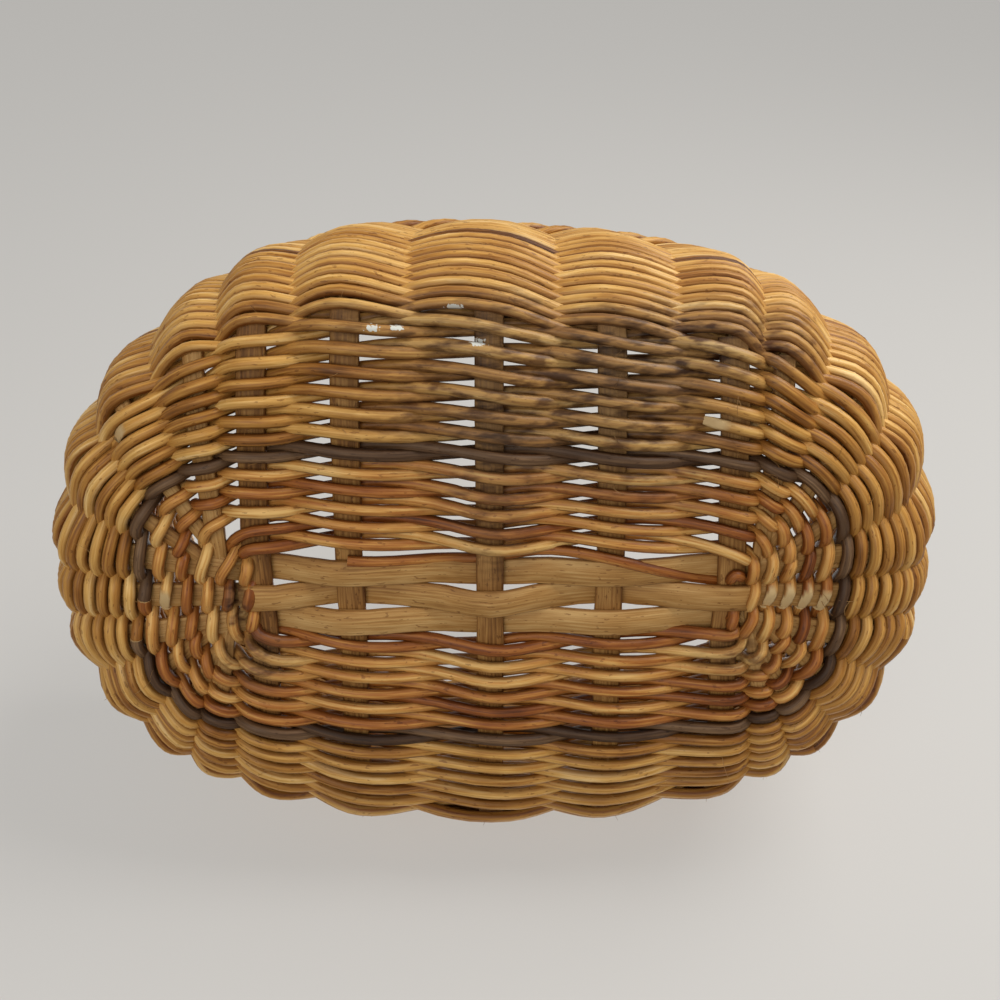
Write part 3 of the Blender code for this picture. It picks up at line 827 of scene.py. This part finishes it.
def base_route(crossings, first, last, joined):
    """Route of one rod; where it isn't joined to the rod before or after, it runs on."""
    stops = [(index, part / STRETCH_PARTS, 0.0) for index in range(first, last)
             for part in range(STRETCH_PARTS)]
    stops.append((last - 1, 1.0, 0.0))
    if not joined[0] and first > 0:
        reach = reversed(free_end(crossings[first]))
        stops[:0] = [(first - 1, 1 - share, dive) for share, dive in reach]
    if not joined[1] and last < len(crossings) - 1:
        stops += [(last, share, dive) for share, dive in free_end(crossings[last])]
    points, ups = [], []
    for index, t, dive in stops:
        point, up = strand_point(crossings, index, t)
        points.append(point + up * dive)
        ups.append(up)
    return smoothed(points, SMOOTHING_PASSES), ups


def rod_scales(count, thick, chance):
    """Thickness along a rod, which swells slowly and has a knot here and there."""
    swell = 0.0
    scales = []
    for _ in range(count):
        swell = swell * SWELL_KEPT + chance.uniform(-SWELL_STEP, SWELL_STEP)
        knot = KNOT_SWELL if chance.random() < KNOT_CHANCE else 0.0
        scales.append(thick * (1 + swell + knot))
    return scales


def base_spans(crossings, chance):
    """Split a strand into rods, joined inside the basket but for the cuts that are in sight."""
    spans = []
    start = 0
    last = len(crossings) - 1
    while start < last:
        end = min(start + chance.randint(*BASE_ROD_LENGTHS), last)
        if end < last and crossings[end]["side"] == OUTSIDE:
            end -= 1
        following = end
        for index in range(start + 2, min(end + 1, last)):
            if crossings[index]["side"] == INSIDE:
                continue
            if crossings[index]["step"] in CUTS_AT_ROD_END:
                end, following = index, index + 1
                break
            if crossings[index]["step"] in CUTS_AT_ROD_START:
                end, following = index - 1, index
                break
        spans.append((start, end))
        start = following
    return spans


def base_weaving():
    """The twelve rows of the base, each of two rods twisted round one another."""
    section = round_section(BASE_ROD_RADIUS, ROD_SIDES)
    dark_from, dark_to = [int((turn + FIRST_TURN) * SPOKE_COUNT) for turn in DARK_TURNS]
    for strand, letter in enumerate("ab"):
        chance = random.Random(SEED * 3 + strand)
        crossings = base_crossings(strand)
        end_step = crossings[-1]["step"] + 1
        bands = (("inner", FIRST_STEPS[0], dark_from, brown_cane, "brown_rod", INNER_TINTS),
                 ("dark", dark_from, dark_to, dark_cane, "dark_rod", DARK_TINTS),
                 ("outer", dark_to, end_step, golden_cane, "tan_rod", OUTER_TINTS))
        for band, low, high, material, slot, tints in bands:
            part = [crossing for crossing in crossings if low <= crossing["step"] <= high]
            sweeps = Sweeps()
            spans = base_spans(part, chance)
            starts, ends = zip(*spans)
            for start, end in spans:
                points, ups = base_route(part, start, end, (start in ends, end in starts))
                scales = rod_scales(len(points), chance.uniform(*BASE_ROD_SCALES), chance)
                scarfs = (SCARF_LENGTH * (part[start]["step"] in CUTS_AT_ROD_START),
                          SCARF_LENGTH * (part[end]["step"] in CUTS_AT_ROD_END))
                sweeps.add(points, section, ups, chance.uniform(*tints), scales, scarfs)
            sweeps.finish(f"{band}_base_rods_{letter}", material,
                          [f"{band}_base_weaver_{letter}"])


def lump(turn, degrees, width):
    """1 at an angle round the basket, falling smoothly to 0 this many degrees away."""
    away = math.degrees(turn) - degrees
    away = abs((away + 180) % 360 - 180) / width
    return (1 + math.cos(math.pi * away)) / 2 if away < 1 else 0.0


def flare_start(turn):
    """Slope of the wall at the base edge: steeper at the ends, and a little uneven by hand."""
    nearness_to_end = outline_normal(turn).x ** 2
    slope = SIDE_FLARE_START + (END_FLARE_START - SIDE_FLARE_START) * nearness_to_end
    return slope + math.radians(sum(added * lump(turn, degrees, width)
                                    for added, degrees, width in WALL_LUMPS))


def wall_point(turn, distance, offset=0.0):
    """Point of the wall at a distance up from the base edge, and its outward and climb directions.

    The wall curves up from its slope at the edge, and then runs straight.
    """
    start = flare_start(turn)
    flare_length = FLARE_RADIUS * (FLARE_END - start)
    straight = max(0.0, distance - flare_length)
    slope = start + min(distance, flare_length) / FLARE_RADIUS
    out = FLARE_RADIUS * (math.sin(slope) - math.sin(start)) + straight * math.cos(slope)
    up = FLARE_RADIUS * (math.cos(start) - math.cos(slope)) + straight * math.sin(slope)
    level = outline_normal(turn)
    outward = level * math.sin(slope)
    outward.z = -math.cos(slope)
    climb = level * math.cos(slope)
    climb.z = math.sin(slope)
    place = outline_point(turn) + level * out + outward * offset
    place.z += BASE_MIDDLE_HEIGHT + BASE_EDGE_RISE + up
    return place, outward, climb


def spoke_angle(step):
    """Angle of a stake, counted on past a full turn."""
    turns, index = divmod(step, SPOKE_COUNT)
    return SPOKES[index].turn + turns * 2 * math.pi


def wall_route(strand, first, last, wander):
    """Route of one wall strand between two stakes, twisted with the other strand."""
    pitch = (WALL_LENGTH - WALL_START) / WALL_ROWS
    rise = (STAKE_RADIUS + WALL_ROD_RADIUS) * WALL_DEPTH_SHARE
    points, ups = [], []
    for step in range(first, last):
        side = OUTSIDE if (step + strand) % 2 == 0 else INSIDE
        here, there = spoke_angle(step), spoke_angle(step + 1)
        for part in range(WALL_STRETCH_PARTS + (step == last - 1)):
            t = part / WALL_STRETCH_PARTS
            sway = math.sin(math.pi * t) * (1 if side == INSIDE else -1)
            swap = -side * math.cos(math.pi * t)
            row = (step + t) / SPOKE_COUNT
            drift = between(wander[step % len(wander)], wander[(step + 1) % len(wander)], t)
            arch = swap * WALL_ARCH * min(1.0, row, WALL_ROWS - row)
            distance = WALL_START + pitch * row + sway * pitch * WALL_SWAY_SHARE + arch + drift
            offset = swap * rise - MID_GAP_PULL * math.sin(math.pi * t) ** 2
            place, outward, _ = wall_point(here + (there - here) * t, distance, offset)
            points.append(place)
            ups.append(outward)
    return points, ups


def wall_spans(strand, first, last, chance):
    """Split a wall strand into rods that are joined inside; one of them is the dark rod."""
    dark_strand, dark_from, dark_to = DARK_WALL_ROD
    spans = []
    start = first
    while start < last:
        end = min(last, start + chance.randint(*WALL_ROD_LENGTHS))
        if end < last and (end + strand) % 2 == 0:
            end -= 1
        if strand == dark_strand and start < dark_from < end:
            end = dark_from
        if strand == dark_strand and start == dark_from:
            end = dark_to
        spans.append((start, end))
        start = end
    return spans


def wall_weaving():
    """The wall's rows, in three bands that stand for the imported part's bands of weaving."""
    section = round_section(WALL_ROD_RADIUS, ROD_SIDES)
    for name, low, high in WALL_BANDS:
        sweeps = Sweeps()
        first = max(low * SPOKE_COUNT, FIRST_WALL_STEP)
        for strand in range(2):
            chance = random.Random(SEED * 11 + strand + low)
            wander = [chance.uniform(-1, 1) * ROW_WANDER * WALL_WANDER_SHARE
                      for _ in range(WALL_WANDERS)]
            for start, end in wall_spans(strand, first, high * SPOKE_COUNT, chance):
                points, ups = wall_route(strand, start, end, wander)
                tint = chance.choice(WALL_TINTS)
                tint += chance.uniform(-WALL_TINT_WANDER, WALL_TINT_WANDER)
                if (strand, start, end) == DARK_WALL_ROD:
                    tint = DARK_WALL_TINT
                scales = rod_scales(len(points), chance.uniform(*WALL_ROD_SCALES), chance)
                sweeps.add(points, section, ups, tint, scales)
        sweeps.finish(f"{name}_wall_rods", golden_cane, [f"{name}_weave"])


def stakes():
    """A round stake from the end of every stick up to the border."""
    section = round_section(STAKE_RADIUS, STAKE_SIDES)
    length = WALL_LENGTH - STAKE_START
    for number, spoke in enumerate(SPOKES, start=1):
        chance = random.Random(SEED * 17 + number)
        route = [wall_point(spoke.turn, STAKE_START + length * part / STAKE_PARTS)[0]
                 for part in range(STAKE_PARTS + 1)]
        sweeps = Sweeps()
        sweeps.add(route, section, None, chance.uniform(*STAKE_TINTS))
        sweeps.finish(f"stake_rod_{number:02d}", split_wood, [f"stake_{number:02d}"])


def rim():
    """Rolled border of four strands laid round one another like a rope."""
    rolls = SPOKE_COUNT * 3 // 4
    parts = SPOKE_COUNT * BORDER_PARTS_PER_STAKE
    rod_parts = parts // BORDER_RODS
    distance = WALL_LENGTH + BORDER_RADIUS - BORDER_SINK
    reach = BORDER_RADIUS - BORDER_ROD_RADIUS
    section = round_section(BORDER_ROD_RADIUS, ROD_SIDES)
    sweeps = Sweeps()
    for strand in range(BORDER_STRANDS):
        chance = random.Random(SEED * 23 + strand)
        for rod in range(BORDER_RODS):
            route, ups = [], []
            for part in range(rod * rod_parts, (rod + 1) * rod_parts + 1):
                around = part / parts
                step = around * SPOKE_COUNT
                index = int(step)
                here, there = spoke_angle(index), spoke_angle(index + 1)
                place, outward, climb = wall_point(here + (there - here) * (step - index), distance)
                roll = 2 * math.pi * (rolls * around + strand / BORDER_STRANDS)
                lean = outward * math.cos(roll) + climb * math.sin(roll)
                route.append(place + lean * reach)
                ups.append(lean)
            sweeps.add(route, section, ups, chance.uniform(*BORDER_TINTS))
    sweeps.finish("rim_rope", golden_cane, ["rim_border"])


def stick(kind, label, centres, widths, thickness, seed, tint):
    """A flat split stick along a list of middle points, rounded between them."""
    chance = random.Random(SEED * 31 + seed)
    route, across_sizes = [], []
    last = len(centres) - 1
    for index in range(last):
        before, after = centres[max(index - 1, 0)], centres[min(index + 2, last)]
        gap = (centres[index + 1] - centres[index]).length
        parts = max(1, round(gap / STICK_STEP))
        for part in range(parts):
            t = part / parts
            linear = centres[index].lerp(centres[index + 1], t)
            curved = smooth_between(before, centres[index], centres[index + 1], after, t)
            route.append(linear.lerp(curved, STICK_ROUNDING))
            across_sizes.append(between(widths[index], widths[index + 1], t))
    route.append(centres[-1])
    across_sizes.append(widths[-1])
    ups = []
    for index in range(len(route)):
        tangent = direction_at(route, index)
        across = Vector((-tangent.y, tangent.x, 0)).normalized()
        ups.append(tangent.cross(across))
        if ups[-1].z < 0:
            ups[-1].negate()
    widest = max(widths)
    scales = [size / widest * chance.uniform(*STICK_WIDTH_SCALES) for size in across_sizes]
    sweeps = Sweeps()
    sweeps.add(route, flat_section(widest, thickness), ups, tint, scales)
    sweeps.finish(f"{kind}_flat_stick_{label}", split_wood, [f"{kind}_stick_{label}"])


def spoke_route(spoke, start_share, end_share=1.0):
    return [spoke.point(start_share + (end_share - start_share) * part / SPOKE_PARTS)
            for part in range(SPOKE_PARTS + 1)]


def short_sticks(chance):
    for number, share in enumerate(SHORT_STICK_SHARES, start=1):
        front = spoke_route(short_spoke(share, -1), 0.0, STICK_TIP_SHARE)
        back = spoke_route(short_spoke(share, 1), 0.0, STICK_TIP_SHARE)
        centres = list(reversed(front)) + back
        widths = [SHORT_STICK_WIDTH] * len(centres)
        stick("short", number, centres, widths, SHORT_STICK_THICKNESS, number,
              chance.uniform(*SHORT_STICK_TINTS))


def long_sticks(chance):
    """The three long sticks, which go over and under the short ones."""
    rest = SHORT_STICK_WIDTH / 2 + LONG_STICK_THICKNESS / 2
    lift = (SHORT_STICK_THICKNESS + LONG_STICK_THICKNESS) / 2 + STICK_GAP
    for row, name in {-1: "front", 0: "middle", 1: "back"}.items():
        starting = list(reversed(spoke_route(long_spoke(-1, row), START_SHARES["long"])))
        crossing = []
        for index, share in enumerate(SHORT_STICK_SHARES):
            side = OUTSIDE if (index + row) % 2 == 0 else INSIDE
            x = share * BASE_HALF_LENGTH
            z = BASE_MIDDLE_HEIGHT + side * lift
            crossing += [Vector((x - rest, row * LONG_STICK_PITCH, z)),
                         Vector((x + rest, row * LONG_STICK_PITCH, z))]
        ending = spoke_route(long_spoke(1, row), START_SHARES["long"])
        widths = ([LONG_STICK_END_WIDTH] * len(starting) + [LONG_STICK_WIDTH] * len(crossing)
                  + [LONG_STICK_END_WIDTH] * len(ending))
        stick("long", name, starting + crossing + ending, widths, LONG_STICK_THICKNESS,
              FIRST_LONG_SEED + row, chance.uniform(*LONG_STICK_TINTS))


def corner_and_fan_sticks(chance):
    counts = {"corner": 0, "fan": 0}
    for spoke in SPOKES:
        if spoke.kind not in counts:
            continue
        counts[spoke.kind] += 1
        number = counts[spoke.kind]
        centres = spoke_route(spoke, START_SHARES[spoke.kind], STICK_TIP_SHARE)
        widths = [spoke.width * START_WIDTH_SHARE] + [spoke.width] * (len(centres) - 1)
        stick(spoke.kind, number, centres, widths, SHORT_STICK_THICKNESS,
              FIRST_SPOKE_SEED + number, chance.uniform(*SPOKE_TINTS))


def sticks():
    chance = random.Random(SEED * 37)
    short_sticks(chance)
    long_sticks(chance)
    corner_and_fan_sticks(chance)


def stray_fibres():
    """Frayed fibres at the sticks' outer ends, and a few that stand off the rods."""
    chance = random.Random(SEED * 41)
    section = round_section(FIBRE_RADIUS, FIBRE_SIDES)
    scales = [1 - FIBRE_TAPER * part / FIBRE_PARTS for part in range(FIBRE_PARTS + 1)]
    sweeps = Sweeps()

    def fibre(root, direction, length):
        bend = Vector([chance.uniform(-1, 1) for _ in range(3)]) * length * FIBRE_BEND
        route = [root + direction * (length * part / FIBRE_PARTS) + bend * (part / FIBRE_PARTS) ** 2
                 for part in range(FIBRE_PARTS + 1)]
        for point in route:
            point.z = max(point.z, LOWEST_FIBRE)
        sweeps.add(route, section, None, chance.uniform(*FIBRE_TINTS), scales)

    for spoke in SPOKES:
        outward = outline_normal(spoke.turn)
        across = Vector((-outward.y, outward.x, 0))
        for _ in range(FRAYS_PER_STICK):
            side = chance.uniform(*FRAY_PLACES) * spoke.width
            root = spoke.point(STICK_TIP_SHARE) + across * side
            root.z += chance.uniform(*FRAY_RISES) * SHORT_STICK_THICKNESS / 2
            direction = (outward + across * chance.uniform(*FRAY_SPREADS)).normalized()
            direction.z = chance.uniform(*FRAY_TILTS)
            fibre(root, direction, chance.uniform(*FRAY_LENGTHS))
    for _ in range(FIBRE_COUNT):
        spoke = chance.choice(SPOKES)
        root = spoke.point(chance.uniform(*FIBRE_SHARES))
        root.z -= SHORT_STICK_THICKNESS / 2 + BASE_ROD_RADIUS * FIBRE_ROD_RADII
        direction = Vector([chance.uniform(*spread) for spread in FIBRE_SPREADS])
        fibre(root, direction.normalized(), chance.uniform(*FIBRE_LENGTHS))
    sweeps.finish("stray_fibres", split_wood, [])


def seen_directly(tree):
    """1 for what the camera sees, also by a reflection or through something clear."""
    path = node(tree, "LightPath")
    seen = maths(tree, "ADD", (path, "Is Camera Ray"), (path, "Is Glossy Ray"), clamp=True)
    return maths(tree, "ADD", seen, (path, "Is Transmission Ray"), clamp=True)


def one_sided_pale(name, colour):
    """Matte stage surface that only the camera and reflections see, and only from its front."""
    material = bpy.data.materials.new(name)
    material.use_nodes = True
    tree = material.node_tree
    tree.nodes.clear()
    geometry = node(tree, "NewGeometry")
    front = maths(tree, "SUBTRACT", 1.0, (geometry, "Backfacing"))
    shown = maths(tree, "MULTIPLY", front, seen_directly(tree))
    shaded = [value * STAGE_SHADED_SHARE for value in colour]
    matte = node(tree, "BsdfDiffuse", {"Color": (*shaded, 1.0)})
    glow = node(tree, "Emission", {"Color": (*colour, 1.0), "Strength": STAGE_GLOW_SHARE})
    both = node(tree, "AddShader")
    for socket, part in enumerate((matte, glow)):
        link(tree, (part, 0), both, socket)
    clear = node(tree, "BsdfTransparent")
    mix = node(tree, "MixShader")
    for socket, part in enumerate((shown, (clear, 0), (both, 0))):
        link(tree, part, mix, socket)
    output = node(tree, "OutputMaterial")
    link(tree, (mix, 0), output, "Surface")
    return material


def stage_plane(name, place, normal, size, material):
    """A square of the stage, facing along its normal."""
    mesh = bpy.data.meshes.new(name)
    corners = [(-size, -size, 0), (size, -size, 0), (size, size, 0), (-size, size, 0)]
    mesh.from_pydata(corners, [], [(0, 1, 2, 3)])
    mesh.materials.append(material)
    plane = new_object(name, mesh)
    facing = normal.to_track_quat("Z", "Y").to_matrix().to_4x4()
    plane.matrix_world = Matrix.Translation(place) @ facing
    plane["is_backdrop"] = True


def lamp(name, place, target, size, power, colour):
    light = bpy.data.lights.new(name, "AREA")
    light.shape = "SQUARE"
    light.size = size
    light.energy = power
    light.color = colour
    lit = new_object(name, light)
    lit.location = place
    lit.rotation_euler = (Vector(target) - Vector(place)).to_track_quat("-Z", "Y").to_euler()


def pale_world():
    """Soft light from all round, brighter where it is seen directly."""
    world = bpy.data.worlds.new("pale_world")
    bpy.context.scene.world = world
    world.use_nodes = True
    tree = world.node_tree
    sky = tree.nodes["Background"]
    sky.inputs["Color"].default_value = WORLD_COLOUR
    seen = maths(tree, "MULTIPLY", seen_directly(tree), WORLD_SEEN_LEVEL)
    link(tree, maths(tree, "ADD", seen, WORLD_LEVEL), sky, "Strength")


def studio():
    """Pale floor under the base, the pale plane that the basket leans on, and soft light."""
    pale = one_sided_pale("pale_stage", STAGE_COLOUR)
    lowest = min((piece.matrix_world @ Vector(corner)).z
                 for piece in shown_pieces() for corner in piece.bound_box)
    stage_plane("floor", Vector((0, 0, lowest)), Vector((0, 0, 1)), STAGE_HALF_SIZE, pale)
    nearest = min((piece.matrix_world @ vertex.co).dot(LEAN_NORMAL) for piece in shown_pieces()
                  if piece.type == "MESH" for vertex in piece.data.vertices)
    stage_plane("lean", LEAN_NORMAL * nearest, LEAN_NORMAL, STAGE_HALF_SIZE, pale)
    pale_world()
    for name, values in LAMPS.items():
        lamp(name, *values)


def photograph_camera():
    camera = bpy.data.cameras.new("photograph_camera")
    camera.sensor_width = SENSOR_MILLIMETRES
    camera.lens = camera.sensor_width * FOCAL_PIXELS / PICTURE_PIXELS
    camera.clip_start = CAMERA_NEAR
    eye = new_object("photograph_camera", camera)
    forward = Vector((0, math.sin(CAMERA_TILT), math.cos(CAMERA_TILT)))
    up = Vector((0, -math.cos(CAMERA_TILT), math.sin(CAMERA_TILT)))
    right = forward.cross(up)
    turn = Matrix((right, up, -forward)).transposed()
    eye.matrix_world = Matrix.Translation(CAMERA_PLACE) @ turn.to_4x4()
    bpy.context.scene.camera = eye


base_weaving()
wall_weaving()
stakes()
rim()
sticks()
stray_fibres()
studio()
photograph_camera()
bpy.context.scene.view_settings.view_transform = "Standard"
